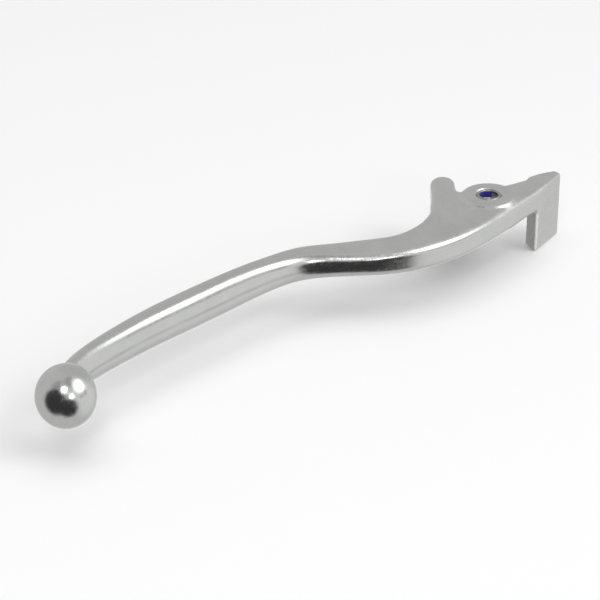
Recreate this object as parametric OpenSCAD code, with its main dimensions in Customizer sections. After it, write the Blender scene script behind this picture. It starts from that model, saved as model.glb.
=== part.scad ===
// Hand lever with its pivot collar, as it comes off the bench.
// Origin: on the pivot axis, half way up the pivot boss.
// +Z runs along the pivot axis, +X points from the pivot to the ball end,
// -Y is the grip side that the lever is pulled towards.

/* [Lever] */
// Distance from the pivot axis to the centre of the ball end
ball_reach = 175; // [150:1:200]
// Width of the ball end, seen from above
ball_w = 18.4; // [16:0.1:21]
// Height of the ball end
ball_h = 19.4; // [16:0.1:21]
// Greatest height of the finger grip
grip_h = 13; // [11:0.1:15]
// Greatest depth of the finger grip, from the finger side to the handlebar side
grip_w = 8.7; // [7:0.1:10]

/* [Pivot head] */
// Thickness of the flat plate round the pivot
plate_h = 8.5; // [7:0.1:9.5]
// How far the boss stands up from the plate
boss_rise = 1; // [0.4:0.1:2]
// Diameter of the pivot boss
boss_d = 17.5; // [16:0.1:20]

/* [Pivot collar] */
// Diameter of the hole for the pivot bolt
bolt_hole_d = 6.1; // [5:0.1:8.2]
// Wall of the steel collar that the lever turns on
collar_wall = 0.95; // [0.75:0.05:1.5]
// How far the collar stands proud of the boss at each end
collar_proud = 0.1; // [0.05:0.05:0.3]
// Running clearance between collar and lever, on the radius
running_gap = 0.03; // [0.02:0.01:0.08]
// Chamfer at each mouth of the lever's bore
mouth_chamfer = 0.45; // [0.2:0.05:0.6]
// Chamfer on the ends of the collar
collar_chamfer = 0.25; // [0.1:0.05:0.3]

/* [Nylon ring] */
// Width of the ring along the pivot axis
ring_w = 2.1; // [1.5:0.1:3]
// Wall of the ring
ring_wall = 0.5; // [0.3:0.05:0.6]
// Distance from the collar's upper end to the ring
ring_depth = 0.6; // [0.5:0.1:2]
// Angle over which the ring is open, so that it springs into its groove
ring_open = 85; // [10:5:120]

/* [Push finger] */
// Distance from the pivot axis to the middle of the finger's round tip
finger_reach = 19.3; // [16:0.1:22]
// Width of the finger
finger_w = 8.3; // [6:0.1:9]
// Radius on the finger's edges
finger_edge = 2; // [1:0.1:3]
// Radius of the hollow where the finger runs into the plate
finger_fillet = 29; // [22:0.5:34]

/* [Switch leg] */
// Distance from the pivot axis to the outer end of the arm
arm_reach = 31; // [28:0.5:36]
// How far the leg hangs below the middle of the boss
leg_drop = 19.2; // [13:0.1:23]
// Width of the leg along the arm
leg_w = 15.4; // [11:0.1:17]
// Depth of the leg at its inner side
leg_depth = 5.8; // [4:0.1:7]
// Radius on the edges of the arm and the leg
arm_edge = 0.8; // [0.4:0.1:1.2]

/* [Hidden] */

over = 1;               // how far a cutter stands out of what it cuts
rings_between = 3;      // loft rings from one station to the next
ring_sides = 24;        // points round each loft ring

boss_h = plate_h + boss_rise;
under = -boss_h / 2;    // the flat underside of plate and boss
plate_top = boss_h / 2 - boss_rise;
plate_mid = -boss_rise / 2;
grip_mid = -boss_rise;  // the grip lies a little below the middle of the boss
gw = grip_w / 2;
gh = grip_h / 2;
ph = plate_h / 2;
bd = ball_reach;

collar_d = bolt_hole_d + 2 * collar_wall;
bore_d = collar_d + 2 * running_gap;
collar_h = boss_h + 2 * collar_proud;
groove_d = bolt_hole_d + 2 * ring_wall;
ring_top = collar_h / 2 - ring_depth;
ring_open_at = 164;     // where the ring's opening faces, in degrees about +Z from +X

finger_angle = 275.8;   // where the finger's tip is, in degrees about +Z from +X
finger_slant = 47.5;    // the way that the finger's sides run back to the plate
finger_run = 13.5;      // how far the finger runs back, to where its hollow begins
finger_flare = 0.4;     // how much wider the finger's root is, on each side
finger_notch = 6;       // how far back from the tip the notch beside the boss ends
web_inset = 0.2;        // how far the web behind the finger is below the plate's faces
web_start = [-1, 1 - boss_d / 2];   // just inside the boss, where the notch's floor begins
finger_tip = finger_reach * [cos(finger_angle), sin(finger_angle)];
finger_along = [cos(finger_slant), sin(finger_slant)];
finger_side = [sin(finger_slant), -cos(finger_slant)];

arm_step = 0.6;         // how far the arm's underside is above the plate's
arm_inner = -arm_reach + leg_w;
arm_outer = -arm_reach + arm_edge;
arm_root = [5, 3];      // middle of the round root that the arm grows from
arm_root_r = 8.6;
arm_neck = [arm_inner, 3.6];
arm_neck_r = 4.6;
arm_heel_rear = -0.6;   // the rear edge of the arm at its heel, inwards of the leg
arm_mid_rear = -0.2;    // the rear edge of the arm behind the middle of the leg
arm_tip_front = 3;      // the front edge of the arm's blunt tip
arm_tip_rear = 2;       // where the tip's rear edge starts
corner_r = arm_edge + 0.1;
leg_front = 7.4;        // the front edge of the leg at its inner side
leg_slant = 2.6;        // how far the leg's inner side slants outwards

// Stations down the lever, from inside the ball to inside the boss:
// [x, y, z, half width, half height, squareness]
stations = [
    [bd - 3,     -4.7, grip_mid,        0.70 * gw, 0.88 * gh, 2.2],
    [bd - 12,    -8.9, grip_mid,        0.78 * gw, 0.91 * gh, 2.2],
    [bd - 25,   -12.1, grip_mid,        0.86 * gw, 0.94 * gh, 2.3],
    [0.76 * bd, -14.2, grip_mid,        0.96 * gw, 0.98 * gh, 2.3],
    [0.66 * bd, -15.2, grip_mid,        gw,        gh,        2.3],
    [0.57 * bd, -15.9, grip_mid,        0.96 * gw, 0.98 * gh, 2.3],
    [0.51 * bd, -16.1, grip_mid + 0.1,  0.95 * gw, 0.89 * gh, 2.4],
    [0.46 * bd, -15.7, grip_mid + 0.2,  gw,        0.81 * gh, 2.5],
    [0.40 * bd, -12.8, grip_mid + 0.3,  5.2,       1.12 * ph, 2.7],
    [0.34 * bd,  -6.1, plate_mid - 0.1, 6.0,       1.03 * ph, 3.2],
    [0.28 * bd,   0.8, plate_mid,       6.7,       ph,        4],
    [40,          4.2, plate_mid,       7.1,       ph,        5.5],
    [30,          5.0, plate_mid,       8.3,       ph,        7],
    [18,          3.8, plate_mid,       9.4,       ph,        9],
    [4,           2.0, plate_mid,       9.5,       ph,        9]
];

// Catmull-Rom value between p1 and p2
function between(p0, p1, p2, p3, t) =
    0.5 * (2 * p1 + (p2 - p0) * t + (2 * p0 - 5 * p1 + 4 * p2 - p3) * t * t
    + (3 * p1 - p0 - 3 * p2 + p3) * t * t * t);

// The stations with smooth ones filled in between them
function smooth_stations(s, steps) = [
    for (i = [0 : len(s) - 2], k = [0 : steps - 1])
        between(s[max(i - 1, 0)], s[i], s[i + 1], s[min(i + 2, len(s) - 1)], k / steps),
    s[len(s) - 1]
];

// Heading of the path at ring i, in degrees
function heading(s, i) =
    let (a = s[max(i - 1, 0)], b = s[min(i + 1, len(s) - 1)])
    atan2(b[1] - a[1], b[0] - a[0]);

// One corner of a rounded section: a superellipse of squareness n
function corner(size, n, c) = size * sign(c) * pow(abs(c), 2 / n);

// Points of one loft ring, square to the path
function loft_ring(st, turn) = [
    for (k = [0 : ring_sides - 1])
        let (
            a = 360 * k / ring_sides,
            side = corner(st[3], st[5], cos(a)),
            up = corner(st[4], st[5], sin(a))
        )
        [st[0] - side * sin(turn), st[1] + side * cos(turn), st[2] + up]
];

// A closed skin over all the rings
module loft(s) {
    rings = [for (i = [0 : len(s) - 1]) loft_ring(s[i], heading(s, i))];
    last = len(s) - 1;
    polyhedron(
        points = [for (r = rings) each r],
        faces = concat(
            [[for (k = [0 : ring_sides - 1]) k]],
            [[for (k = [ring_sides - 1 : -1 : 0]) last * ring_sides + k]],
            [for (i = [0 : last - 1], k = [0 : ring_sides - 1])
                let (n = (k + 1) % ring_sides, a = i * ring_sides, b = a + ring_sides)
                each [[a + k, b + k, b + n], [a + k, b + n, a + n]]]
        )
    );
}

module ball_end() {
    translate([ball_reach, 0, grip_mid])
        rotate_extrude($fn = 96)
            intersection() {
                scale([ball_w / ball_h, 1]) circle(d = ball_h, $fn = 72);
                translate([0, -ball_h]) square([ball_w, 2 * ball_h]);
            }
}

// An upright disc with rounded edges, for hulls
module pill(r, edge, low, high) {
    for (z = [low + edge, high - edge])
        translate([0, 0, z])
            rotate_extrude($fn = 24)
                intersection() {
                    translate([r - edge, 0]) circle(edge, $fn = 16);
                    translate([0, -edge]) square([r + edge, 2 * edge]);
                }
}

// The finger that pushes the piston: its sides run at finger_slant
module push_finger() {
    hull()
        for (root = [0, 1])
            translate(finger_tip + root * finger_run * finger_along)
                pill(finger_w / 2 + root * finger_flare, finger_edge, under + web_inset, plate_top);
}

// The web that fills the corners between the finger, the plate and the boss
module finger_web() {
    notch = finger_tip - finger_w / 2 * finger_side + finger_notch * finger_along;
    hollow = finger_tip + (finger_w / 2 + finger_fillet) * finger_side + finger_run * finger_along;
    translate([0, 0, under + web_inset])
        linear_extrude(plate_h - 2 * web_inset)
            difference() {
                polygon([
                    web_start, [notch[0], -boss_d / 2], notch,
                    finger_tip + finger_run / 4 * finger_along,
                    hollow - finger_fillet * finger_side, hollow,
                    [hollow[0], 0], [boss_d / 2, 0]
                ]);
                translate(hollow) circle(finger_fillet, $fn = 144);
            }
}

// A bar with rounded edges over the given corners
module rounded_bar(corners, low, high) {
    hull()
        for (p = corners)
            translate(p) pill(corner_r, arm_edge, low, high);
}

// The arm from the boss out to its thick tip
module arm() {
    low = under + arm_step;
    hull() {
        translate(arm_root) pill(arm_root_r, finger_edge, low, plate_top);
        translate(arm_neck) pill(arm_neck_r, arm_edge, low, plate_top);
    }
    step = leg_w / 3;
    rounded_bar(
        [[arm_inner, leg_front], [arm_inner - leg_slant, 0],
            [arm_inner - step, arm_heel_rear], [arm_inner - 2 * step, arm_mid_rear],
            [arm_outer, arm_tip_rear], [arm_outer, arm_tip_front]],
        low, plate_top
    );
}

// The leg that works the switch, hanging from the arm's tip
module leg() {
    rounded_bar(
        [[arm_inner, leg_front], [arm_inner - leg_slant, leg_front - leg_depth],
            [arm_outer, arm_tip_rear], [arm_outer, arm_tip_front]],
        -leg_drop, plate_top
    );
}

module boss() {
    cylinder(d = boss_d, h = boss_h, center = true, $fn = 96);
}

// The bore that the collar runs in, with a chamfered mouth at each end
module bore() {
    r = bore_d / 2;
    half = boss_h / 2;
    rotate_extrude($fn = 96)
        polygon([
            [0, -half - over], [r + mouth_chamfer + over, -half - over], [r, -half + mouth_chamfer],
            [r, half - mouth_chamfer], [r + mouth_chamfer + over, half + over], [0, half + over]
        ]);
}

// The whole forging: ball, grip, plate, boss, finger, arm and leg
module lever_casting() {
    color([0.72, 0.72, 0.72])
        difference() {
            union() {
                loft(smooth_stations(stations, rings_between));
                ball_end();
                boss();
                push_finger();
                finger_web();
                arm();
                leg();
            }
            bore();
        }
}

// Steel collar that the pivot bolt clamps, so that the lever turns on it
module pivot_collar() {
    r = collar_d / 2;
    hole = bolt_hole_d / 2;
    half = collar_h / 2;
    color([0.8, 0.8, 0.82])
        difference() {
            rotate_extrude($fn = 96)
                polygon([
                    [hole, -half], [r - collar_chamfer, -half], [r, -half + collar_chamfer],
                    [r, half - collar_chamfer], [r - collar_chamfer, half], [hole, half]
                ]);
            translate([0, 0, ring_top - ring_w])
                cylinder(d = groove_d, h = ring_w, $fn = 96);
        }
}

// Open nylon ring in the collar's groove, which steadies the bolt
module nylon_ring() {
    color([0.19, 0.2, 0.61])
        translate([0, 0, ring_top - ring_w])
            difference() {
                cylinder(d = groove_d, h = ring_w, $fn = 96);
                translate([0, 0, -over]) cylinder(d = bolt_hole_d, h = ring_w + 2 * over, $fn = 96);
                translate([0, 0, -over])
                    linear_extrude(ring_w + 2 * over)
                        polygon([
                            [0, 0],
                            for (share = [-0.5, 0, 0.5])
                                let (a = ring_open_at + share * ring_open)
                                groove_d * [cos(a), sin(a)]
                        ]);
            }
}

lever_casting();
pivot_collar();
nylon_ring();
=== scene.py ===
"""Looks of a hand lever with its pivot collar: run as a script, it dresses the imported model."""

import math
from collections import namedtuple

import bpy
import numpy as np
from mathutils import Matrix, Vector


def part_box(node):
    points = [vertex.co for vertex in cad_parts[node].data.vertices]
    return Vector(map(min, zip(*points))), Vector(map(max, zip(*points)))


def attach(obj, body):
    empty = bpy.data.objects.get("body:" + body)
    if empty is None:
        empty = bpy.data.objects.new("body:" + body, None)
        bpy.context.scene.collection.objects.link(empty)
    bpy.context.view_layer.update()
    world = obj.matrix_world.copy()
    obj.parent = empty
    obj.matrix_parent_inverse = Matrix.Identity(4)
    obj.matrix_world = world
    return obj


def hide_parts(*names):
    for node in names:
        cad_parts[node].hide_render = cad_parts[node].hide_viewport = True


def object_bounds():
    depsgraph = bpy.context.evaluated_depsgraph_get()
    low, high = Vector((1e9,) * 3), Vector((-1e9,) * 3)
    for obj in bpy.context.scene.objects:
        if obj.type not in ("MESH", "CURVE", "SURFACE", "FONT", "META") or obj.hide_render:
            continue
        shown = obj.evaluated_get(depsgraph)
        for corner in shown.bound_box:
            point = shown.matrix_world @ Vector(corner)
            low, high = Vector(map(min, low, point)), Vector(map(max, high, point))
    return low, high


bl_info = {
    "name": "Hand Lever",
    "version": (1, 0, 0),
    "blender": (4, 5, 0),
    "location": "3D View > Sidebar > Lever",
    "description": "Builds a polished hand lever, its pivot collar and its nylon ring on a fixed frame",
    "category": "Object",
}

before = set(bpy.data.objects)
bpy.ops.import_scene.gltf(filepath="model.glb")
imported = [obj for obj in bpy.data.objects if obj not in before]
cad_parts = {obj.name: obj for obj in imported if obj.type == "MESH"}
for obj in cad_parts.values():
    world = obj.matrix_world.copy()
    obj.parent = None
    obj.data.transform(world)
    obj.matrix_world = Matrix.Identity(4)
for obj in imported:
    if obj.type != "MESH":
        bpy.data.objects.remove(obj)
CAD_BOX = [list(corner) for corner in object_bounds()]
MM = 0.001
LEVER_BODY = "lever"
COLLAR_BODY = "collar"


def box_mm(node):
    """Lowest and highest corner of a CAD node, in millimetres."""
    low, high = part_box(node)
    return np.array(low) / MM, np.array(high) / MM


COLLAR_LOW, COLLAR_HIGH = box_mm("pivot_collar")
RING_LOW, RING_HIGH = box_mm("nylon_ring")
LEVER_LOW, LEVER_HIGH = box_mm("lever_casting")

# ---------------------------------------------------------------------------
# Sizes of the lever, in millimetres, in the frame of the CAD model
# ---------------------------------------------------------------------------

COLLAR_PROUD = 0.1
BOSS_TOP = float(COLLAR_HIGH[2]) - COLLAR_PROUD
UNDERSIDE = float(COLLAR_LOW[2]) + COLLAR_PROUD
BOSS_RISE = 1.0
PLATE_TOP = BOSS_TOP - BOSS_RISE
GRIP_Z = -BOSS_RISE
BOSS_R = 8.75
RUNNING_GAP = 0.03
BORE_R = float(COLLAR_HIGH[0]) + RUNNING_GAP
MOUTH_CHAMFER = 0.45
LEG_LOW = float(LEVER_LOW[2])

BALL_CENTRE = (175.1, 0.0, GRIP_Z + 0.05)
BALL_R = 9.15
BALL_HALF_H = 9.7
BALL_CREASE = 1.6
# The ball is looked for only past this place, and the mesh is fine again past the next
BALL_FROM = 150.0
BALL_FINE_FROM = 160.0

# Down the grip: x, y, z of its middle, half depth, half height, squareness
GRIP = [
    (176.0, -3.3, GRIP_Z, 3.0, 5.2, 2.2),
    (165.0, -8.3, GRIP_Z, 3.25, 5.75, 2.2),
    (150.0, -12.1, GRIP_Z - 0.1, 3.7, 5.95, 2.3),
    (133.0, -14.3, GRIP_Z - 0.1, 4.2, 6.2, 2.3),
    (115.5, -15.3, GRIP_Z - 0.1, 4.35, 6.3, 2.3),
    (100.0, -15.9, GRIP_Z - 0.1, 4.2, 6.2, 2.3),
    (89.0, -16.0, GRIP_Z, 4.15, 5.7, 2.4),
    (80.5, -15.5, GRIP_Z + 0.1, 4.35, 5.2, 2.5),
    (70.0, -12.8, GRIP_Z + 0.3, 5.2, 4.75, 2.7),
    (60.0, -6.4, -0.6, 6.0, 4.4, 2.9),
    (50.0, 0.2, -0.5, 6.6, 4.25, 3.2),
    (40.0, 3.9, -0.5, 6.9, 4.25, 4.0),
    (30.0, 4.9, -0.5, 8.1, 4.25, 5.0),
]
GRIP_END = 172.0
# The grip's rounded section gives way to the flat plate between these places
PLATE_FROM = 44.0
GRIP_FROM = 64.0

# Finger side of the head, seen from above: x, y
FRONT_RAIL = [
    (-31.5, 3.6), (-24.0, 5.8), (-15.0, 8.2), (-8.0, 9.5), (0.0, 10.9), (6.0, 11.8), (12.0, 12.6),
    (20.0, 13.3), (28.0, 13.3), (36.0, 12.3), (44.0, 10.2), (52.0, 6.3), (60.0, 0.9), (68.0, -6.2),
]
# Handlebar side of the plate: the hollow that runs into the push finger, then back inside the finger
PLATE_REAR_RAIL = [
    (-4.0, 16.0), (0.0, 5.0), (4.0, -4.5), (8.0, -10.8), (11.0, -13.0), (14.0, -12.6), (17.0, -10.1),
    (20.0, -7.5), (24.0, -5.2), (28.8, -3.4), (34.2, -2.5), (39.0, -2.5), (44.0, -3.9),
    (50.0, -7.2), (56.0, -11.0), (62.0, -14.6), (68.0, -17.6),
]
# Handlebar side of the arm, with the step of its thick tip, then back inside the plate
ARM_REAR_RAIL = [
    (-31.5, 1.2), (-29.0, 0.2), (-26.0, -0.8), (-22.8, -1.4), (-21.0, -1.5), (-19.9, -1.2),
    (-18.9, -0.8), (-17.5, -0.9), (-15.0, -1.4), (-12.0, -2.1), (-8.0, -3.8), (-3.0, -7.0),
    (1.0, -9.0), (5.0, -10.4), (9.0, -11.2), (13.0, -9.4), (17.0, -4.6), (21.0, 3.0), (25.0, 14.0),
]
ARM_END = -31.05
# The arm's underside is this much higher than the plate's, and rises between these places
ARM_STEP = 0.6
ARM_STEP_RUN = (2.0, -12.0)
# How softly the outlines run into each other
OUTLINE_BLEND = 1.0
ARM_TIP_BLEND = 0.5
ARM_FRONT_BLEND = 0.3
BOSS_TO_ARM_BLEND = 1.5
NOTCH_BLEND = 8.0
LEG_CORNER_BLEND = 0.7
LEG_FOOT_BLEND = 0.5
# The arm's sharper edges give way to the plate's between these places: sooner at the front
REAR_TO_PLATE = (-12.0, -1.0)
FRONT_TO_PLATE = (-34.0, 6.0)
REAR_TO_FRONT = (0.0, 5.0)

FINGER_TIP = (1.95, -19.2)
FINGER_ALONG = (0.676, 0.737)
FINGER_R = 4.15
FINGER_RUN = 18.0

# Inner side of the leg: a place on it, and the way it faces
LEG_FACE_AT = (-14.9, 8.2)
LEG_FACE_OUT = (0.926, -0.378)
LEG_REAR = 1.4


# ---------------------------------------------------------------------------
# Shape functions: each gives a distance, negative inside the metal
# ---------------------------------------------------------------------------

Edges = namedtuple("Edges", "plate_edge arm_edge boss_edge boss_fillet leg_fillet")
# Keep powers and roots away from nought
TINY = 1e-9
ROOT_GUARD = 1e-12


class Rail:
    """Natural cubic through the given places, so that its curvature runs on smoothly."""

    def __init__(self, places):
        x, v = np.array(sorted(places), float).T
        gap = np.diff(x)
        matrix = np.eye(len(x))
        bend = np.zeros(len(x))
        for i in range(1, len(x) - 1):
            matrix[i, i - 1:i + 2] = gap[i - 1], 2 * (gap[i - 1] + gap[i]), gap[i]
            bend[i] = 6 * ((v[i + 1] - v[i]) / gap[i] - (v[i] - v[i - 1]) / gap[i - 1])
        self.x, self.v, self.m = x, v, np.linalg.solve(matrix, bend)

    def __call__(self, x):
        """Value and slope at x. Past its ends the rail runs on straight."""
        held = np.clip(x, self.x[0], self.x[-1])
        i = np.clip(np.searchsorted(self.x, held) - 1, 0, len(self.x) - 2)
        gap = self.x[i + 1] - self.x[i]
        t = held - self.x[i]
        m0, m1 = self.m[i], self.m[i + 1]
        first = (self.v[i + 1] - self.v[i]) / gap - gap * (2 * m0 + m1) / 6
        third = (m1 - m0) / (6 * gap)
        slope = first + m0 * t + 3 * third * t * t
        value = self.v[i] + first * t + m0 / 2 * t * t + third * t ** 3
        return value + slope * (x - held), slope


def smooth_min(a, b, width):
    """The smaller of two distances, with a fillet where they meet."""
    h = np.maximum(width - np.abs(a - b), 0) / width
    return np.minimum(a, b) - h * h * h * width / 6


def smooth_max(a, b, width):
    return -smooth_min(-a, -b, width)


def ease(x, start, end):
    """0 at start, 1 at end, level at both."""
    t = np.clip((x - start) / (end - start), 0, 1)
    return t * t * t * (t * (6 * t - 15) + 10)


def rounded_all(radius, *distances):
    """What lies inside every distance, with its edges rounded."""
    total = sum(np.maximum(d + radius, 0) ** 2 for d in distances)
    nearest = np.maximum.reduce(distances)
    return np.sqrt(total + ROOT_GUARD) + np.minimum(nearest + radius, 0) - radius


def past(rail, x, y):
    """How far a place is past a rail that runs along X, on its +Y side."""
    value, slope = rail(x)
    return (y - value) / np.sqrt(1 + slope * slope)


GRIP_RAILS = [Rail([(row[0], row[i]) for row in GRIP]) for i in range(1, 6)]
FRONT = Rail(FRONT_RAIL)
PLATE_REAR = Rail(PLATE_REAR_RAIL)
ARM_REAR = Rail(ARM_REAR_RAIL)


def grip_distance(x, y, z):
    """The finger grip: rounded sections strung along its middle line."""
    middle, slope = GRIP_RAILS[0](x)
    level, depth, height, squareness = (rail(x)[0] for rail in GRIP_RAILS[1:])
    across = np.abs(y - middle) / np.sqrt(1 + slope * slope) / depth
    up = np.abs(z - level) / height
    ring = ((across + TINY) ** squareness + (up + TINY) ** squareness) ** (1 / squareness) - 1
    return np.maximum(ring * np.minimum(depth, height), x - GRIP_END)


def head_distance(x, y, z, sizes):
    """Plate, pivot boss, push finger, arm and hanging leg."""
    front = past(FRONT, x, y)
    top = z - PLATE_TOP
    to_plate = ease(x, *REAR_TO_PLATE)
    to_plate += (ease(x, *FRONT_TO_PLATE) - to_plate) * ease(y, *REAR_TO_FRONT)
    edge = sizes.arm_edge + (sizes.plate_edge - sizes.arm_edge) * to_plate
    low = UNDERSIDE + ARM_STEP * ease(x, *ARM_STEP_RUN) - z

    plate_outline = smooth_max(front, -past(PLATE_REAR, x, y), OUTLINE_BLEND)
    arm_outline = smooth_max(-past(ARM_REAR, x, y), ARM_END - x, ARM_TIP_BLEND)
    arm_outline = smooth_max(front, arm_outline, ARM_FRONT_BLEND)
    along = (x - FINGER_TIP[0]) * FINGER_ALONG[0] + (y - FINGER_TIP[1]) * FINGER_ALONG[1]
    along = np.clip(along, 0, FINGER_RUN)
    off_x = x - FINGER_TIP[0] - along * FINGER_ALONG[0]
    off_y = y - FINGER_TIP[1] - along * FINGER_ALONG[1]
    finger_outline = np.hypot(off_x, off_y) - FINGER_R
    from_axis = np.hypot(x, y)
    arm_and_boss = smooth_min(arm_outline, from_axis - BOSS_R, BOSS_TO_ARM_BLEND)
    outline = np.minimum(plate_outline, smooth_min(arm_and_boss, finger_outline, NOTCH_BLEND))

    inner = (x - LEG_FACE_AT[0]) * LEG_FACE_OUT[0] + (y - LEG_FACE_AT[1]) * LEG_FACE_OUT[1]
    leg = smooth_max(inner, LEG_REAR - y, LEG_CORNER_BLEND)
    leg = smooth_max(leg, LEG_LOW - z, LEG_FOOT_BLEND)
    low = smooth_min(low, leg, sizes.leg_fillet)
    head = rounded_all(edge, outline, top, low)
    boss = rounded_all(sizes.boss_edge, from_axis - BOSS_R, z - BOSS_TOP, UNDERSIDE - z)
    return smooth_min(head, boss, sizes.boss_fillet)


def lever_distance(places, sizes):
    """The whole forging without its bore."""
    x, y, z = places.T
    to_grip = ease(x, PLATE_FROM, GRIP_FROM)
    distance = np.empty(len(places))
    only_head, only_grip = to_grip <= 0, to_grip >= 1
    both = ~(only_head | only_grip)
    distance[only_head] = head_distance(x[only_head], y[only_head], z[only_head], sizes)
    distance[only_grip] = grip_distance(x[only_grip], y[only_grip], z[only_grip])
    if both.any():
        head = head_distance(x[both], y[both], z[both], sizes)
        grip = grip_distance(x[both], y[both], z[both])
        distance[both] = head + (grip - head) * to_grip[both]
    scale = np.array([BALL_R, BALL_R, BALL_HALF_H])
    ball = (np.linalg.norm((places - BALL_CENTRE) / scale, axis=1) - 1) * BALL_R
    return np.where(x > BALL_FROM, smooth_min(distance, ball, BALL_CREASE), distance)


# ---------------------------------------------------------------------------
# Meshing a shape function
# ---------------------------------------------------------------------------

CORNERS = [(i, j, k) for i in (0, 1) for j in (0, 1) for k in (0, 1)]
CELL_EDGES = [
    (a, b) for a in CORNERS for b in CORNERS if sum(b) - sum(a) == 1 and np.all(np.subtract(b, a) >= 0)
]
# Grid planes worked out at a time
SLAB = 16
# How far the grid reaches past the lever, in millimetres
GRID_MARGIN = 1.5
SETTLE_ROUNDS = 3
RELAX_ROUNDS = 4
LEAST_SLOPE = 0.05


def sample(distance, axes):
    """The shape function at every grid place, a slab at a time to keep memory low."""
    values = np.empty([len(axis) for axis in axes], np.float32)
    for start in range(0, len(axes[0]), SLAB):
        slab = slice(start, start + SLAB)
        grid = np.stack(np.meshgrid(axes[0][slab], axes[1], axes[2], indexing="ij"), -1)
        values[slab] = distance(grid.reshape(-1, 3)).reshape(grid.shape[:3])
    return values


def net_quads(inside, number, axis):
    """One quad round every grid edge along an axis that the surface crosses."""
    size = inside.shape
    first, second = [i for i in range(3) if i != axis]
    before = inside.take(range(size[axis] - 1), axis)
    after = inside.take(range(1, size[axis]), axis)
    edges = np.argwhere(before != after)
    entering = before[tuple(edges.T)]

    def cell(back_first, back_second):
        at = edges.copy()
        at[:, first] -= back_first
        at[:, second] -= back_second
        return number[tuple(at.T)]

    quads = np.stack([cell(1, 1), cell(0, 1), cell(0, 0), cell(1, 0)], 1)
    if axis == 1:
        quads = quads[:, ::-1]
    return np.where(entering[:, None], quads, quads[:, ::-1])


def surface_net(distance, axes):
    """Vertices and quads of the closed surface where the shape function is zero."""
    values = sample(distance, axes)
    inside = values < 0
    size = np.array(values.shape) - 1
    count = sum(
        inside[i:i + size[0], j:j + size[1], k:k + size[2]].astype(np.int8) for i, j, k in CORNERS
    )
    cells = np.argwhere((count > 0) & (count < len(CORNERS)))
    number = np.full(size, -1)
    number[tuple(cells.T)] = np.arange(len(cells))

    # A cell's vertex starts at the mean of the places where the surface cuts its edges
    total = np.zeros((len(cells), 3))
    hits = np.zeros(len(cells))
    for a, b in CELL_EDGES:
        at_a = values[tuple((cells + a).T)]
        at_b = values[tuple((cells + b).T)]
        cut = (at_a < 0) != (at_b < 0)
        share = np.where(cut, at_a / np.where(cut, at_a - at_b, 1), 0)
        total += np.where(cut[:, None], np.array(a) + share[:, None] * np.subtract(b, a), 0)
        hits += cut
    share = total / hits[:, None]
    low = np.stack([axes[i][cells[:, i]] for i in range(3)], 1)
    high = np.stack([axes[i][cells[:, i] + 1] for i in range(3)], 1)
    quads = np.concatenate([net_quads(inside, number, axis) for axis in range(3)])
    return low + (high - low) * share, quads


def gradient(distance, places, reach=0.02):
    """How the shape function changes along each axis."""
    steps = np.eye(3) * reach
    return np.stack([distance(places + s) - distance(places - s) for s in steps], 1) / (2 * reach)


def settle(distance, places, longest):
    """Moves every vertex onto the surface."""
    slope = gradient(distance, places)
    steps = distance(places) / np.maximum((slope * slope).sum(1), LEAST_SLOPE)
    return places - np.clip(steps, -longest, longest)[:, None] * slope


def relax(distance, places, quads, longest, rounds):
    """Evens out the net along the surface."""
    sides = np.concatenate([quads[:, [0, 1]], quads[:, [1, 2]], quads[:, [2, 3]], quads[:, [3, 0]]])
    sides = np.unique(np.sort(sides, 1), axis=0)
    neighbours = np.bincount(sides.ravel(), minlength=len(places))[:, None]
    for _ in range(rounds):
        pull = np.stack(
            [
                np.bincount(sides[:, 0], places[sides[:, 1], i], len(places))
                + np.bincount(sides[:, 1], places[sides[:, 0], i], len(places))
                for i in range(3)
            ],
            1,
        )
        places = settle(distance, (places + pull / neighbours) / 2, longest)
    return places


def steps_between(*stretches):
    """Grid places along one axis: each stretch is a start, an end and a spacing."""
    places = []
    for start, end, spacing in stretches:
        count = max(1, round((end - start) / spacing))
        places.extend(np.linspace(start, end, count, endpoint=False))
    places.append(stretches[-1][1])
    return np.array(places)


# ---------------------------------------------------------------------------
# Node trees
# ---------------------------------------------------------------------------

ROUND_SIDES = 160
CORNER_STEPS = 4


def add(tree, kind, sockets=None, **settings):
    """Adds a node. A socket is given a value, or another node's output to link to."""
    made = tree.nodes.new(kind)
    for key, value in settings.items():
        setattr(made, key, value)
    for key, value in (sockets or {}).items():
        if isinstance(value, bpy.types.NodeSocket):
            tree.links.new(value, made.inputs[key])
        else:
            made.inputs[key].default_value = value
    return made


def math_node(tree, operation, a, b=0.0, clamp=False):
    return add(tree, "ShaderNodeMath", {0: a, 1: b}, operation=operation, use_clamp=clamp).outputs[0]


def geometry_tree(name, sizes):
    """An empty Geometry Nodes tree with a named input for each size."""
    tree = bpy.data.node_groups.new(name, "GeometryNodeTree")
    tree.interface.new_socket("Geometry", in_out="INPUT", socket_type="NodeSocketGeometry")
    tree.interface.new_socket("Geometry", in_out="OUTPUT", socket_type="NodeSocketGeometry")
    for size in sizes:
        tree.interface.new_socket(size, in_out="INPUT", socket_type="NodeSocketFloat")
    return tree, add(tree, "NodeGroupInput")


def end_tree(tree, result, material):
    """Ends a tree in a real mesh that carries its material."""
    real = add(tree, "GeometryNodeRealizeInstances", {"Geometry": result})
    coated = add(tree, "GeometryNodeSetMaterial", {"Geometry": real.outputs[0], "Material": material})
    add(tree, "NodeGroupOutput", {"Geometry": coated.outputs[0]})


def grow(piece, tree, sizes):
    """Runs a tree on a piece with the given sizes, and leaves the piece a plain mesh."""
    modifier = piece.modifiers.new(tree.name, "NODES")
    modifier.node_group = tree
    for socket in tree.interface.items_tree:
        if socket.in_out == "INPUT" and socket.name in sizes:
            modifier[socket.identifier] = float(sizes[socket.name])
    evaluated = piece.evaluated_get(bpy.context.evaluated_depsgraph_get())
    mesh = bpy.data.meshes.new_from_object(evaluated)
    piece.modifiers.remove(modifier)
    mesh.name = piece.name
    piece.data = mesh
    return piece


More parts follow.
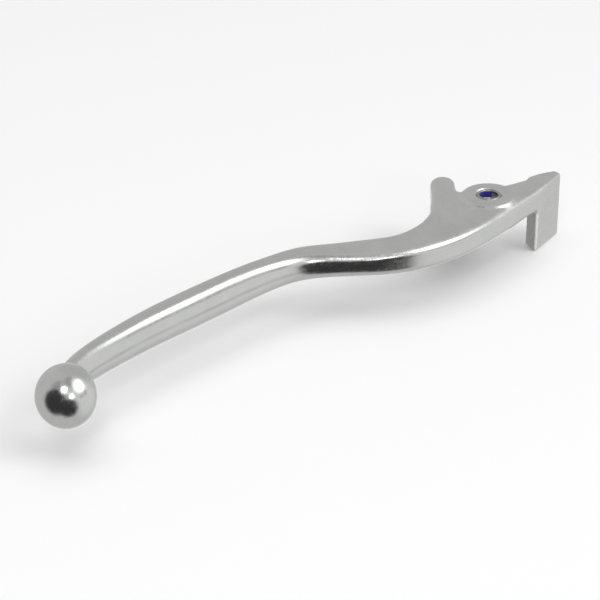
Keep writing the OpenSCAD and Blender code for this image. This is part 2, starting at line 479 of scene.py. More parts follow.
def new_piece(name, mesh=None):
    piece = bpy.data.objects.new(name, mesh or bpy.data.meshes.new(name))
    bpy.context.scene.collection.objects.link(piece)
    return piece


def turned_collar_tree(material):
    """The collar: a chamfered wall swept round the pivot axis, less the groove for the ring."""
    names = ["Radius", "Wall", "Height", "Chamfer", "Groove Depth", "Groove Height", "Groove Level"]
    tree, inputs = geometry_tree("turned collar", names)
    size = inputs.outputs

    def swept(width, height, radius, level, corner):
        outline = add(tree, "GeometryNodeCurvePrimitiveQuadrilateral", {"Width": width, "Height": height})
        cut = add(
            tree, "GeometryNodeFilletCurve", {"Curve": outline.outputs[0], "Radius": corner}, mode="POLY"
        )
        circle = add(tree, "GeometryNodeCurvePrimitiveCircle", {"Resolution": ROUND_SIDES, "Radius": radius})
        upright = add(tree, "GeometryNodeSetCurveNormal", {"Curve": circle.outputs[0]}, mode="Z_UP")
        ring = add(
            tree,
            "GeometryNodeCurveToMesh",
            {"Curve": upright.outputs[0], "Profile Curve": cut.outputs[0]},
        )
        lift = add(tree, "ShaderNodeCombineXYZ", {"Z": level})
        return add(
            tree, "GeometryNodeTransform", {"Geometry": ring.outputs[0], "Translation": lift.outputs[0]}
        ).outputs[0]

    half_wall = math_node(tree, "MULTIPLY", size["Wall"], 0.5)
    middle = math_node(tree, "SUBTRACT", size["Radius"], half_wall)
    wall = swept(size["Wall"], size["Height"], middle, 0.0, size["Chamfer"])
    # The groove's cutter reaches as far into the empty bore as it does into the wall
    inner = math_node(tree, "SUBTRACT", size["Radius"], size["Wall"])
    both_ways = math_node(tree, "MULTIPLY", size["Groove Depth"], 2.0)
    groove = swept(both_ways, size["Groove Height"], inner, size["Groove Level"], 0.0)
    collar = add(
        tree,
        "GeometryNodeMeshBoolean",
        {"Mesh 1": wall, "Mesh 2": groove},
        operation="DIFFERENCE",
        solver="EXACT",
    )
    end_tree(tree, collar.outputs[0], material)
    return tree


def open_ring_tree(material):
    """The nylon ring: a rounded strip that follows an arc and stops well short of closing."""
    names = ["Radius", "Wall", "Height", "Corner", "Level", "Start", "Sweep"]
    tree, inputs = geometry_tree("open ring", names)
    size = inputs.outputs
    outline = add(
        tree, "GeometryNodeCurvePrimitiveQuadrilateral", {"Width": size["Wall"], "Height": size["Height"]}
    )
    softened = add(
        tree,
        "GeometryNodeFilletCurve",
        {"Curve": outline.outputs[0], "Count": CORNER_STEPS, "Radius": size["Corner"]},
        mode="POLY",
    )
    arc = add(
        tree,
        "GeometryNodeCurveArc",
        {
            "Resolution": ROUND_SIDES,
            "Radius": size["Radius"],
            "Start Angle": size["Start"],
            "Sweep Angle": size["Sweep"],
        },
    )
    upright = add(tree, "GeometryNodeSetCurveNormal", {"Curve": arc.outputs[0]}, mode="Z_UP")
    strip = add(
        tree,
        "GeometryNodeCurveToMesh",
        {"Curve": upright.outputs[0], "Profile Curve": softened.outputs[0], "Fill Caps": True},
    )
    lift = add(tree, "ShaderNodeCombineXYZ", {"Z": size["Level"]})
    placed = add(
        tree, "GeometryNodeTransform", {"Geometry": strip.outputs[0], "Translation": lift.outputs[0]}
    )
    end_tree(tree, placed.outputs[0], material)
    return tree


def bored_tree(material):
    """Cuts the bore and the chamfer at each of its mouths through the forging."""
    tree, inputs = geometry_tree("bored", ["Radius", "Half Height", "Chamfer", "Over"])
    size = inputs.outputs
    reach = math_node(tree, "ADD", size["Chamfer"], size["Over"])
    mouth = math_node(tree, "ADD", size["Radius"], reach)
    outside = math_node(tree, "ADD", size["Half Height"], size["Over"])
    through = math_node(tree, "MULTIPLY", outside, 2.0)
    drill = add(
        tree,
        "GeometryNodeMeshCylinder",
        {"Vertices": ROUND_SIDES, "Radius": size["Radius"], "Depth": through},
    )
    cutters = [drill.outputs["Mesh"]]
    for up in (1, -1):
        cone = add(
            tree,
            "GeometryNodeMeshCone",
            {"Vertices": ROUND_SIDES, "Radius Top": mouth, "Radius Bottom": size["Radius"], "Depth": reach},
        )
        base = math_node(tree, "SUBTRACT", size["Half Height"], size["Chamfer"])
        level = math_node(tree, "MULTIPLY", base, float(up))
        place = add(tree, "ShaderNodeCombineXYZ", {"Z": level})
        turn = (0.0, 0.0, 0.0) if up == 1 else (math.pi, 0.0, 0.0)
        placed = add(
            tree,
            "GeometryNodeTransform",
            {"Geometry": cone.outputs["Mesh"], "Translation": place.outputs[0], "Rotation": turn},
        )
        cutters.append(placed.outputs[0])
    cut = add(
        tree,
        "GeometryNodeMeshBoolean",
        {"Mesh 1": size["Geometry"]},
        operation="DIFFERENCE",
        solver="EXACT",
    )
    for cutter in cutters:
        tree.links.new(cutter, cut.inputs["Mesh 2"])
    end_tree(tree, cut.outputs[0], material)
    return tree


# ---------------------------------------------------------------------------
# Materials
# ---------------------------------------------------------------------------

POLISH = "polish"
SKIN_AND_PAINTED_SHADE = "die skin"
EDGE_HIGHLIGHT = "edge_highlight"
ALONG = "along the lever"
PARTING_DROP = 0.1
# How far the tumbling has polished the head's rounded sides, and how much less of that the arm has
SIDE_POLISH = 0.8
ARM_DULLNESS = 0.6

# How wide the marks on the aluminium are, in millimetres
PATCH = 6.0
GRAIN = 1.1
SPECK = 0.3
STREAK = 0.8
HAIRLINE = 0.2
PIT_SPACING = 1.6
PIT_GROUP = 3.5
# How deep they are, in millimetres
WAVE_DEPTH = 0.03
GRAIN_DEPTH = 0.01
SPECK_DEPTH = 0.003
STREAK_DEPTH = 0.02
HAIRLINE_DEPTH = 0.004
PIT_DEPTH = 0.05
# Belt marks are this much shorter in the noise along the lever than across it
DRAWN_OUT = (0.07, 1.0, 1.0)
# Where the belt marks and the parting line begin and end along the lever, in millimetres
BELT_FROM = (46.0, 80.0)
PARTING_FROM = (62.0, 78.0)
PARTING_TO = (163.0, 168.0)
PARTING_WIDTH = (0.1, 0.9)
DULL_SHARE = 0.84
SKIN_AND_PAINTED_SHADE_COLOUR = (0.42, 0.42, 0.41, 1.0)
PIT_COLOUR = (0.16, 0.16, 0.17, 1.0)
PARTING_COLOUR = (0.36, 0.36, 0.35, 1.0)
EDGE_HIGHLIGHT_COLOUR = (0.78, 0.79, 0.77, 1.0)

# The collar's lathe lines and stains, the nylon's flow marks and the floor's patches, in millimetres
LATHE_LINE = 0.09
LATHE_DEPTH = 0.001
STAIN = 2.0
FLOW = 0.6
FLOW_DEPTH = 0.01
FLOOR_PATCH = 120.0
STAIN_COLOUR = (0.42, 0.41, 0.4, 1.0)
NYLON_SHADE = 0.6
NYLON_IOR = 1.53
FLOOR_SHADE = (0.8, 0.8, 0.8, 1.0)
FLOOR_SHEEN = 0.2


def new_material(name):
    """A material with its shader and an Object coordinate, which stays put on the piece."""
    made = bpy.data.materials.new(name)
    made.use_nodes = True
    tree = made.node_tree
    shader = tree.nodes["Principled BSDF"]
    where = add(tree, "ShaderNodeTexCoord").outputs["Object"]
    return made, tree, shader, where


def link_in(tree, shader, **sockets):
    for key, output in sockets.items():
        tree.links.new(output, shader.inputs[key.replace("_", " ")])


def noise(tree, where, size_mm, detail=3.0, roughness=0.55):
    """Noise whose patches are about size_mm across."""
    return add(
        tree,
        "ShaderNodeTexNoise",
        {"Vector": where, "Scale": 1.0 / (size_mm * MM), "Detail": detail, "Roughness": roughness},
    ).outputs["Fac"]


def blend(tree, factor, first, second):
    """Colour between two others."""
    mixed = add(tree, "ShaderNodeMix", {0: factor, 6: first, 7: second}, data_type="RGBA")
    return mixed.outputs["Result"]


def attribute(tree, name, output="Fac"):
    """What the piece's mesh stores under a name."""
    return add(tree, "ShaderNodeAttribute", attribute_name=name).outputs[output]


def times(tree, a, b):
    return math_node(tree, "MULTIPLY", a, b)


def spread(tree, value, low, high, start=0.0, end=1.0):
    """Maps a value from start..end to low..high."""
    return add(
        tree,
        "ShaderNodeMapRange",
        {"Value": value, "From Min": start, "From Max": end, "To Min": low, "To Max": high},
    ).outputs[0]


def bump(tree, height, depth_mm, strength=1.0, under=None):
    sockets = {"Height": height, "Distance": depth_mm * MM, "Strength": strength}
    if under is not None:
        sockets["Normal"] = under
    return add(tree, "ShaderNodeBump", sockets).outputs[0]


def tumbled_aluminium(look):
    """Bare forged aluminium: polished where the fingers go, satin and pitted on the head."""
    made, tree, shader, where = new_material("tumbled aluminium")
    polish = attribute(tree, POLISH)
    along = attribute(tree, ALONG, "Vector")
    patches = noise(tree, where, PATCH, 4.0)
    grain = noise(tree, where, GRAIN, 4.0)
    specks = noise(tree, where, SPECK, 2.0)

    # Belt marks run down the lever, so their noise is drawn out along it
    drawn_out = add(tree, "ShaderNodeMapping", {"Vector": along, "Scale": DRAWN_OUT}).outputs[0]
    streaks = noise(tree, drawn_out, STREAK, 4.0, 0.6)
    hairlines = noise(tree, drawn_out, HAIRLINE, 2.0, 0.5)

    satin = spread(tree, patches, look.satin_roughness - 0.05, look.satin_roughness + 0.07, 0.35, 0.65)
    bright = spread(tree, streaks, look.polish_roughness - 0.03, look.polish_roughness + 0.08, 0.35, 0.7)
    finish = add(tree, "ShaderNodeMix", {0: polish, 2: satin, 3: bright}, data_type="FLOAT")
    grit = spread(tree, grain, -0.04, 0.06, 0.3, 0.7)
    roughness = math_node(tree, "ADD", finish.outputs[0], grit, clamp=True)

    shade = spread(tree, times(tree, grain, patches), 0.55, 1.0, 0.12, 0.4)
    dull = (*[DULL_SHARE * c for c in look.metal_colour[:3]], 1.0)
    tone = blend(tree, shade, dull, look.metal_colour)
    # The stones don't reach the leg's inner side, which keeps its darker as-cast finish; the colour there is
    # also darkened as painted shade under the arm
    skin_and_shade = times(tree, attribute(tree, SKIN_AND_PAINTED_SHADE), spread(tree, grain, 0.75, 1.0, 0.35, 0.65))
    tone = blend(tree, skin_and_shade, tone, SKIN_AND_PAINTED_SHADE_COLOUR)

    # Small round pits left by the tumbling stones, fewer on the polished parts
    cells = add(tree, "ShaderNodeTexVoronoi", {"Vector": where, "Scale": 1.0 / (PIT_SPACING * MM)})
    pit = spread(tree, cells.outputs["Distance"], 1.0, 0.0, 0.03, 0.16)
    chosen = spread(tree, noise(tree, where, PIT_GROUP, 2.0), 0.0, 1.0, 0.57, 0.65)
    pitted = times(tree, times(tree, pit, chosen), spread(tree, polish, 1.0, 0.12))
    tone = blend(tree, times(tree, pitted, 0.5), tone, PIT_COLOUR)

    # The dressed parting line of the dies, half way up the grip
    flat = add(tree, "ShaderNodeSeparateXYZ", {"Vector": along}).outputs
    off_line = math_node(tree, "ABSOLUTE", math_node(tree, "ADD", flat["Z"], PARTING_DROP * MM))
    line = spread(tree, off_line, 1.0, 0.0, *[MM * w for w in PARTING_WIDTH])
    line = times(tree, line, spread(tree, flat["X"], 0.0, 1.0, *[MM * x for x in PARTING_FROM]))
    line = times(tree, line, spread(tree, flat["X"], 1.0, 0.0, *[MM * x for x in PARTING_TO]))
    worn = times(tree, line, spread(tree, streaks, 0.2, 0.4, 0.35, 0.65))
    tone = blend(tree, worn, tone, PARTING_COLOUR)

    # The head was tumbled smoother than the grip was left by the belt
    on_blade = spread(tree, flat["X"], 0.0, 1.0, *[MM * x for x in BELT_FROM])
    buffed = spread(tree, on_blade, 0.1, 1.0)
    normal = bump(tree, patches, WAVE_DEPTH, 0.4)
    normal = bump(tree, grain, GRAIN_DEPTH, spread(tree, on_blade, 0.12, 0.4), normal)
    normal = bump(tree, specks, SPECK_DEPTH, 0.1, normal)
    normal = bump(tree, streaks, STREAK_DEPTH, buffed, normal)
    normal = bump(tree, hairlines, HAIRLINE_DEPTH, buffed, normal)
    normal = bump(tree, math_node(tree, "SUBTRACT", 1.0, pitted), PIT_DEPTH, 0.7, normal)

    # Painted highlight: the leg's edges get a pale, matt, less metallic colour that stands in for the light
    # line along them
    edge_highlight = attribute(tree, EDGE_HIGHLIGHT)
    link_in(
        tree,
        shader,
        Base_Color=blend(tree, edge_highlight, tone, EDGE_HIGHLIGHT_COLOUR),
        Metallic=spread(tree, edge_highlight, 1.0, 0.1),
        Roughness=math_node(tree, "MAXIMUM", roughness, edge_highlight),
        Normal=normal,
    )
    return made


def turned_steel(look):
    """Bright steel with fine lathe lines round the pivot axis."""
    made, tree, shader, where = new_material("turned steel")
    flat = add(tree, "ShaderNodeSeparateXYZ", {"Vector": where}).outputs
    squares = [math_node(tree, "POWER", flat[i], 2.0) for i in (0, 1)]
    radius = math_node(tree, "SQRT", math_node(tree, "ADD", *squares))
    spiral = add(tree, "ShaderNodeCombineXYZ", {"X": radius, "Y": flat[2]}).outputs[0]
    lines = noise(tree, spiral, LATHE_LINE, 2.0, 0.6)
    stain = noise(tree, where, STAIN)
    shader.inputs["Metallic"].default_value = 1.0
    link_in(
        tree,
        shader,
        Base_Color=blend(tree, spread(tree, stain, 0.0, 0.5, 0.45, 0.75), look.steel_colour, STAIN_COLOUR),
        Roughness=spread(tree, lines, 0.28, 0.48, 0.3, 0.7),
        Normal=bump(tree, lines, LATHE_DEPTH, 0.6),
    )
    return made


def blue_nylon(look):
    """Moulded nylon: even colour, a soft sheen and a faint flow texture."""
    made, tree, shader, where = new_material("blue nylon")
    flow = noise(tree, where, FLOW, 4.0)
    deep = (*[NYLON_SHADE * c for c in look.nylon_colour[:3]], 1.0)
    shader.inputs["IOR"].default_value = NYLON_IOR
    link_in(
        tree,
        shader,
        Base_Color=blend(tree, spread(tree, flow, 0.0, 1.0, 0.35, 0.65), deep, look.nylon_colour),
        Roughness=spread(tree, flow, 0.32, 0.5),
        Normal=bump(tree, flow, FLOW_DEPTH, 0.4),
    )
    return made


def pale_floor(look):
    made, tree, shader, where = new_material("pale floor")
    shade = spread(tree, noise(tree, where, FLOOR_PATCH, 2.0), 0.97, 1.0)
    shader.inputs["Specular IOR Level"].default_value = FLOOR_SHEEN
    link_in(
        tree,
        shader,
        Base_Color=blend(tree, shade, FLOOR_SHADE, look.floor_colour),
        Roughness=spread(tree, shade, 0.9, 0.8, 0.97, 1.0),
    )
    return made


# ---------------------------------------------------------------------------
# Sizes and colours that a user would change
# ---------------------------------------------------------------------------


def length(name, description, default_mm):
    return bpy.props.FloatProperty(
        name=name, description=description, default=default_mm * MM, min=0.0, precision=5, unit="LENGTH"
    )


def angle(name, description, degrees):
    return bpy.props.FloatProperty(
        name=name, description=description, default=math.radians(degrees), subtype="ANGLE"
    )


def colour(name, description, default):
    return bpy.props.FloatVectorProperty(
        name=name, description=description, default=(*default, 1.0), size=4, min=0.0, max=1.0, subtype="COLOR"
    )


def share(name, description, default):
    return bpy.props.FloatProperty(
        name=name, description=description, default=default, min=0.0, max=1.0, subtype="FACTOR"
    )


class ForgingSettings(bpy.types.PropertyGroup):
    """Edges, fillets and fineness of the forging."""

    plate_edge: length("Plate Edge", "Radius on the edges of the plate and the push finger", 2.5)
    arm_edge: length("Arm Edge", "Radius on the edges of the arm and the leg", 0.8)
    boss_edge: length("Boss Edge", "Radius on the edge of the pivot boss", 0.8)
    boss_fillet: length("Boss Fillet", "Fillet where the boss stands up from the plate", 2.4)
    leg_fillet: length("Leg Fillet", "Fillet where the leg hangs from the arm", 1.6)
    head_cell: length("Head Cell", "Spacing of the mesh on the head and the ball", 0.4)
    grip_cell: length("Grip Cell", "Spacing of the mesh along the grip", 0.8)


class CollarSettings(bpy.types.PropertyGroup):
    """The pivot collar and the ring in its bore."""

    bolt_hole: length("Bolt Hole", "Diameter of the hole for the pivot bolt", 6.1)
    chamfer: length("Chamfer", "Chamfer on the ends of the collar", 0.25)
    ring_corner: length("Ring Corner", "Radius on the corners of the nylon ring", 0.1)
    ring_open: angle("Ring Opening", "Angle over which the nylon ring is open", 85.0)
    ring_facing: angle("Ring Facing", "Where the opening faces, about the pivot axis", 164.0)


class LookSettings(bpy.types.PropertyGroup):
    """Colours and finishes."""

    metal_colour: colour("Aluminium", "Colour of the bare aluminium", (0.855, 0.867, 0.85))
    steel_colour: colour("Steel", "Colour of the pivot collar", (0.52, 0.52, 0.51))
    nylon_colour: colour("Nylon", "Colour of the ring in the collar's bore", (0.05, 0.055, 0.42))
    floor_colour: colour("Floor", "Colour of the floor", (0.95, 0.95, 0.95))
    satin_roughness: share("Satin", "Roughness of the head's flat faces", 0.36)
    polish_roughness: share("Polish", "Roughness of the grip and the ball", 0.17)


class StageSettings(bpy.types.PropertyGroup):
    """Camera and lights."""

    turn: angle("Camera Turn", "Way that the camera faces, about the vertical", 137.5)
    tilt: angle("Camera Tilt", "How far the camera looks down", 29.0)
    lens: bpy.props.FloatProperty(
        name="Lens", description="Focal length of the camera", default=144.0, unit="CAMERA"
    )
    camera_place: bpy.props.FloatVectorProperty(
        name="Camera Place",
        description="Where the camera stands",
        default=(0.52364, 0.47957, 0.35708),
        subtype="TRANSLATION",
    )
    room_light: bpy.props.FloatProperty(
        name="Room Light", description="Brightness of the white room", default=0.5, min=0.0
    )
    floor_light: bpy.props.FloatProperty(
        name="Floor Light",
        description="Brightness of the lamp that keeps the floor pale",
        default=1.1,
        min=0.0,
    )


# ---------------------------------------------------------------------------
# Operators
# ---------------------------------------------------------------------------


# A face in the mouth was cut by the drill if it faces the axis at least this much
BORE_FACING = 0.5
# Where along the lever the polish comes on, and where the arm and the leg begin, in millimetres
POLISH_RUN = (46.0, 84.0)
ARM_RUN = (-8.0, -14.0)
LEG_RUN = (-12.0, -14.0)
# How far a face leans from level: side, or top and bottom
SIDE_LEAN = (0.55, 0.97)
UPRIGHT_LEAN = (0.3, 0.8)
# How much a face looks the way of the leg's inner side, for its as-cast finish with painted shade and for the
# painted highlight on its edges
SKIN_FACING = (0.75, 0.95)
EDGE_HIGHLIGHT_FROM = (-0.5, -0.2)
EDGE_HIGHLIGHT_TO = (0.6, 0.9)


def casting_normals(mesh, distance, mouth_radius):
    """Exact normals at every corner: the forging's own slope, and the bore's where it was cut."""
    corners = len(mesh.loops)
    vertex = np.empty(corners, np.int32)
    mesh.loops.foreach_get("vertex_index", vertex)
    places = np.empty(len(mesh.vertices) * 3)
    mesh.vertices.foreach_get("co", places)
    places = places.reshape(-1, 3) / MM
    slope = gradient(distance, places)
    slope /= np.linalg.norm(slope, axis=1)[:, None]
    normals = slope[vertex]

    faces = len(mesh.polygons)
    face_normal = np.empty(faces * 3)
    centre = np.empty(faces * 3)
    total = np.empty(faces, np.int32)
    mesh.polygons.foreach_get("normal", face_normal)
    mesh.polygons.foreach_get("center", centre)
    mesh.polygons.foreach_get("loop_total", total)
    face_normal = face_normal.reshape(-1, 3)
    centre = centre.reshape(-1, 3) / MM
    out = centre[:, :2] / np.linalg.norm(centre[:, :2], axis=1)[:, None]
    inward = -(face_normal[:, :2] * out).sum(1)
    cut = (np.hypot(centre[:, 0], centre[:, 1]) < mouth_radius) & (inward > BORE_FACING)
    face = np.repeat(np.arange(faces), total)
    at = places[vertex, :2]
    radial = -at / np.linalg.norm(at, axis=1)[:, None]
    along = face_normal[face, 2]
    across = np.sqrt(np.maximum(1 - along * along, 0))
    bored = np.column_stack([radial * across[:, None], along])
    normals = np.where(cut[face][:, None], bored, normals)
    mesh.polygons.foreach_set("use_smooth", np.ones(faces, bool))
    mesh.normals_split_custom_set(normals)
    return places, slope


def store_finish(mesh, places, slope):
    """Stores on every vertex how polished it is, and its place along, across and up the lever."""
    x, y, z = places.T

    def store(name, values):
        data = mesh.attributes.new(name, "FLOAT", "POINT").data
        data.foreach_set("value", values.astype(np.float32))

    on_grip = ease(x, *POLISH_RUN)
    rounded = 1 - ease(np.abs(slope[:, 2]), *SIDE_LEAN)
    head = SIDE_POLISH * rounded * (1 - ARM_DULLNESS * ease(x, *ARM_RUN))
    store(POLISH, np.clip(on_grip + (1 - on_grip) * head, 0, 1))

    # The leg's inner side: darker as-cast finish, with shade painted in under the arm
    inward = slope[:, 0] * LEG_FACE_OUT[0] + slope[:, 1] * LEG_FACE_OUT[1]
    on_leg = ease(x, *LEG_RUN) * ease(z, UNDERSIDE + 1, UNDERSIDE - 1)
    store(SKIN_AND_PAINTED_SHADE, ease(inward, *SKIN_FACING) * on_leg)
    # The leg's edges: a pale painted highlight where they turn from the inner side
    upright = 1 - ease(np.abs(slope[:, 2]), *UPRIGHT_LEAN)
    store(EDGE_HIGHLIGHT, ease(inward, *EDGE_HIGHLIGHT_FROM) * (1 - ease(inward, *EDGE_HIGHLIGHT_TO)) * upright * on_leg)

    held = np.clip(x, 0.0, GRIP_END)
    middle, level = GRIP_RAILS[0](held)[0], GRIP_RAILS[1](held)[0]
    along = np.column_stack([x, y - middle, z - level]) * MM
    stored = mesh.attributes.new(ALONG, "FLOAT_VECTOR", "POINT")
    stored.data.foreach_set("vector", along.astype(np.float32).ravel())


class HANDLEVER_OT_forging(bpy.types.Operator):
    """Makes the lever itself and cuts its bore"""

    bl_idname = "handlever.forging"
    bl_label = "Lever Forging"

    def execute(self, context):
        settings = context.scene.handlever_forging
        names = ("plate_edge", "arm_edge", "boss_edge", "boss_fillet", "leg_fillet")
        sizes = Edges(**{name: getattr(settings, name) / MM for name in names})
        fine, coarse = settings.head_cell / MM, settings.grip_cell / MM

        def distance(places):
            return lever_distance(places, sizes)

        low, high = LEVER_LOW - GRID_MARGIN, LEVER_HIGH + GRID_MARGIN
        axes = [
            steps_between(
                (low[0], PLATE_FROM / 2, fine),
                (PLATE_FROM / 2, BALL_FINE_FROM, coarse),
                (BALL_FINE_FROM, high[0], fine),
            ),
            steps_between((low[1], high[1], fine)),
            steps_between((low[2], high[2], fine)),
        ]
        places, quads = surface_net(distance, axes)
        for _ in range(SETTLE_ROUNDS):
            places = settle(distance, places, fine / 2)
        places = relax(distance, places, quads, fine / 2, RELAX_ROUNDS)
        mesh = bpy.data.meshes.new("forging")
        mesh.from_pydata(places * MM, [], quads)
        piece = new_piece("forging", mesh)
        material = tumbled_aluminium(context.scene.handlever_look)
        values = {
            "Radius": BORE_R * MM,
            "Half Height": BOSS_TOP * MM,
            "Chamfer": MOUTH_CHAMFER * MM,
            "Over": MM,
        }
        grow(piece, bored_tree(material), values)
        store_finish(piece.data, *casting_normals(piece.data, distance, BORE_R + MOUTH_CHAMFER + fine))
        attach(piece, LEVER_BODY)
        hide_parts("lever_casting")
        return {"FINISHED"}


class HANDLEVER_OT_collar(bpy.types.Operator):
    """Makes the steel collar that the lever turns on"""

    bl_idname = "handlever.collar"
    bl_label = "Pivot Collar"

    def execute(self, context):
        settings = context.scene.handlever_collar
        radius = float(COLLAR_HIGH[0]) * MM
        ring_low, ring_high = RING_LOW[2] * MM, RING_HIGH[2] * MM
        values = {
            "Radius": radius,
            "Wall": radius - settings.bolt_hole / 2,
            "Height": (COLLAR_HIGH[2] - COLLAR_LOW[2]) * MM,
            "Chamfer": settings.chamfer,
            "Groove Depth": RING_HIGH[1] * MM - settings.bolt_hole / 2,
            "Groove Height": ring_high - ring_low,
            "Groove Level": (ring_high + ring_low) / 2,
        }
        piece = new_piece("collar")
        grow(piece, turned_collar_tree(turned_steel(context.scene.handlever_look)), values)
        piece.data.shade_smooth()
        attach(piece, COLLAR_BODY)
        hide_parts("pivot_collar")
        return {"FINISHED"}


class HANDLEVER_OT_ring(bpy.types.Operator):
    """Makes the open nylon ring in the collar's bore"""

    bl_idname = "handlever.ring"
    bl_label = "Nylon Ring"

    def execute(self, context):
        settings = context.scene.handlever_collar
        outer, inner = RING_HIGH[1] * MM, settings.bolt_hole / 2
        values = {
            "Radius": (outer + inner) / 2,
            "Wall": outer - inner,
            "Height": (RING_HIGH[2] - RING_LOW[2]) * MM,
            "Corner": settings.ring_corner,
            "Level": (RING_HIGH[2] + RING_LOW[2]) / 2 * MM,
            "Start": settings.ring_facing + settings.ring_open / 2,
            "Sweep": math.tau - settings.ring_open,
        }
        piece = new_piece("ring")
        grow(piece, open_ring_tree(blue_nylon(context.scene.handlever_look)), values)
        piece.data.shade_smooth()
        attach(piece, COLLAR_BODY)
        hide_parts("nylon_ring")
        return {"FINISHED"}


LAMP_REACH = 1.5
# Azimuth and elevation of each lamp seen from the lever, the angles that it spans, and its radiance
LAMPS = {
    "lamp above the camera": (-7.0, 45.0, (15.0, 14.0), 6.0),
    "lamp beside the camera": (23.0, 22.0, (11.0, 10.0), 6.0),
    "big soft box": (76.0, 42.0, (26.0, 16.0), 3.0),
}
# Azimuth, elevation, inner and outer reach of each brighter or darker part of the room, and its change
ROOM_PATCHES = (
    ((76.0, 41.0, 6.0, 30.0), 1.1),
    ((85.0, -5.0, 20.0, 60.0), 0.16),
    ((150.0, 35.0, 20.0, 60.0), -0.05),
    ((172.0, -33.0, 12.0, 32.0), 0.4),
    ((45.0, 70.0, 6.0, 26.0), -0.18),
    ((-40.0, 50.0, 10.0, 30.0), -0.2),
    ((82.0, 13.0, 3.0, 11.0), -0.3),
    ((66.0, 13.0, 3.0, 12.0), -0.3),
)
# The unlit side of the room, round the camera, and how much of its light it has lost
UNLIT_PARTS = ((10.0, -16.0, 27.0, 38.0), (-35.0, 0.0, 34.0, 48.0))
SENSOR_WIDTH = 36.0
CLIP_START = 0.01
FLOOR_LIGHT_SPANS = (60.0, 60.0)
FLOOR_HALF = 3.0
UNLIT_SHARE = 0.93


def heading(turn, azimuth, elevation):
    """The way from the lever to a place in the room: azimuth 0 is towards the camera, + to its right."""
    towards = np.array([math.sin(turn), -math.cos(turn), 0.0])
    right = np.array([math.cos(turn), math.sin(turn), 0.0])
    azimuth, elevation = math.radians(azimuth), math.radians(elevation)
    level = math.cos(azimuth) * towards + math.sin(azimuth) * right
    return math.cos(elevation) * level + np.array([0.0, 0.0, math.sin(elevation)])


def soft_box(name, middle, way, spans, radiance):
    """A rectangular lamp at LAMP_REACH from the lever, as wide and high as the given angles."""
    width, height = (2 * LAMP_REACH * math.tan(math.radians(span) / 2) for span in spans)
    data = bpy.data.lights.new(name, "AREA")
    data.shape = "RECTANGLE"
    data.size, data.size_y = width, height
    data.energy = radiance * math.pi * width * height
    lamp = bpy.data.objects.new(name, data)
    lamp.location = middle + way * LAMP_REACH
    lamp.rotation_euler = Vector(-way).to_track_quat("-Z", "Y").to_euler()
    lamp.visible_camera = False
    bpy.context.scene.collection.objects.link(lamp)
    return lamp


def white_room(settings):
    """A white room whose camera side is unlit, so that bright metal has something dark to show."""
    world = bpy.data.worlds.new("white room")
    world.use_nodes = True
    tree = world.node_tree
    way = add(tree, "ShaderNodeTexCoord").outputs["Generated"]

    def nearness(azimuth, elevation, inner, outer):
        """1 within the inner angle of a heading, 0 past the outer one."""
        target = heading(settings.turn, azimuth, elevation)
        dot = add(tree, "ShaderNodeVectorMath", {0: way, 1: target}, operation="DOT_PRODUCT").outputs["Value"]
        near, far = math.cos(math.radians(inner)), math.cos(math.radians(outer))
        return add(
            tree,
            "ShaderNodeMapRange",
            {"Value": dot, "From Min": far, "From Max": near},
            interpolation_type="SMOOTHSTEP",
        ).outputs[0]

    lit = settings.room_light
    for heading_and_reach, change in ROOM_PATCHES:
        lit = math_node(tree, "ADD", math_node(tree, "MULTIPLY", nearness(*heading_and_reach), change), lit)
    unlit = 0.0
    for heading_and_reach in UNLIT_PARTS:
        unlit = math_node(tree, "MAXIMUM", nearness(*heading_and_reach), unlit)
    seen = times(tree, lit, math_node(tree, "SUBTRACT", 1.0, times(tree, unlit, UNLIT_SHARE)))
    from_camera = add(tree, "ShaderNodeLightPath").outputs["Is Camera Ray"]
    strength = add(tree, "ShaderNodeMix", {0: from_camera, 2: seen, 3: 1.0}, data_type="FLOAT")
    background = tree.nodes["Background"]
    background.inputs["Color"].default_value = (1.0, 1.0, 1.0, 1.0)
    tree.links.new(strength.outputs[0], background.inputs["Strength"])
    return world


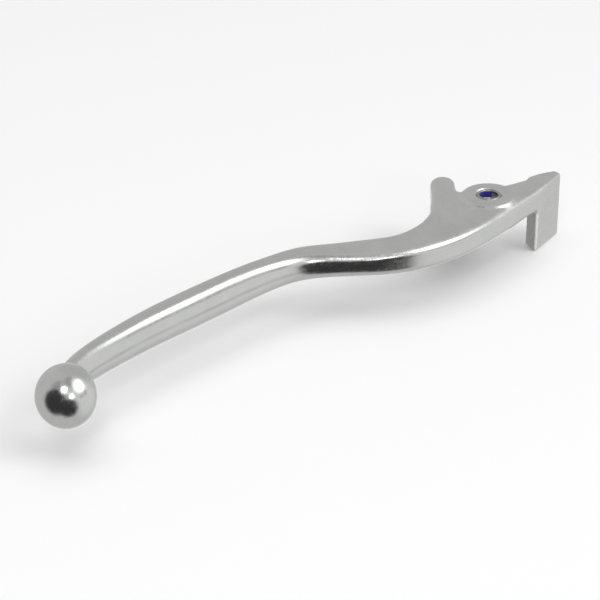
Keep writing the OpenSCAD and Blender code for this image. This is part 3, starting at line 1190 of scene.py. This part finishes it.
class HANDLEVER_OT_stage(bpy.types.Operator):
    """Makes the floor, the lights and the camera"""

    bl_idname = "handlever.stage"
    bl_label = "Stage"

    def execute(self, context):
        settings = context.scene.handlever_stage
        floor_level = float(LEVER_LOW[2]) * MM
        mesh = bpy.data.meshes.new("floor")
        corners = [
            (x * FLOOR_HALF, y * FLOOR_HALF, floor_level) for x, y in ((-1, -1), (1, -1), (1, 1), (-1, 1))
        ]
        mesh.from_pydata(corners, [], [(0, 1, 2, 3)])
        mesh.materials.append(pale_floor(context.scene.handlever_look))
        floor = new_piece("floor", mesh)
        floor.visible_glossy = False

        context.scene.world = white_room(settings)
        context.scene.view_settings.view_transform = "Standard"
        middle = (np.array(CAD_BOX[0]) + np.array(CAD_BOX[1])) / 2
        for name, (azimuth, elevation, spans, radiance) in LAMPS.items():
            soft_box(name, middle, heading(settings.turn, azimuth, elevation), spans, radiance)
        straight_up = np.array([0.0, 0.0, 1.0])
        overhead = soft_box("floor light", middle, straight_up, FLOOR_LIGHT_SPANS, settings.floor_light)
        overhead.visible_glossy = False

        camera = bpy.data.objects.new("camera", bpy.data.cameras.new("camera"))
        camera.data.lens = settings.lens
        camera.data.sensor_width = SENSOR_WIDTH
        camera.data.clip_start = CLIP_START
        camera.location = settings.camera_place
        camera.rotation_euler = (math.pi / 2 - settings.tilt, 0.0, settings.turn)
        context.scene.collection.objects.link(camera)
        context.scene.camera = camera
        return {"FINISHED"}


OPERATORS = (HANDLEVER_OT_forging, HANDLEVER_OT_collar, HANDLEVER_OT_ring, HANDLEVER_OT_stage)
GROUPS = {
    "handlever_forging": ForgingSettings,
    "handlever_collar": CollarSettings,
    "handlever_look": LookSettings,
    "handlever_stage": StageSettings,
}


class HANDLEVER_PT_panel(bpy.types.Panel):
    """Lists the steps that build the lever"""

    bl_idname = "HANDLEVER_PT_panel"
    bl_label = "Hand Lever"
    bl_space_type = "VIEW_3D"
    bl_region_type = "UI"
    bl_category = "Lever"

    def draw(self, context):
        for operator in OPERATORS:
            self.layout.operator(operator.bl_idname)


def register():
    for group in GROUPS.values():
        bpy.utils.register_class(group)
    for name, group in GROUPS.items():
        setattr(bpy.types.Scene, name, bpy.props.PointerProperty(type=group))
    for kind in (*OPERATORS, HANDLEVER_PT_panel):
        bpy.utils.register_class(kind)


def unregister():
    for kind in reversed((*OPERATORS, HANDLEVER_PT_panel)):
        bpy.utils.unregister_class(kind)
    for name in GROUPS:
        delattr(bpy.types.Scene, name)
    for group in reversed(GROUPS.values()):
        bpy.utils.unregister_class(group)


def main():
    register()
    steps = bpy.ops.handlever
    for step in (steps.stage, steps.forging, steps.collar, steps.ring):
        step()


if __name__ == "__main__":
    main()
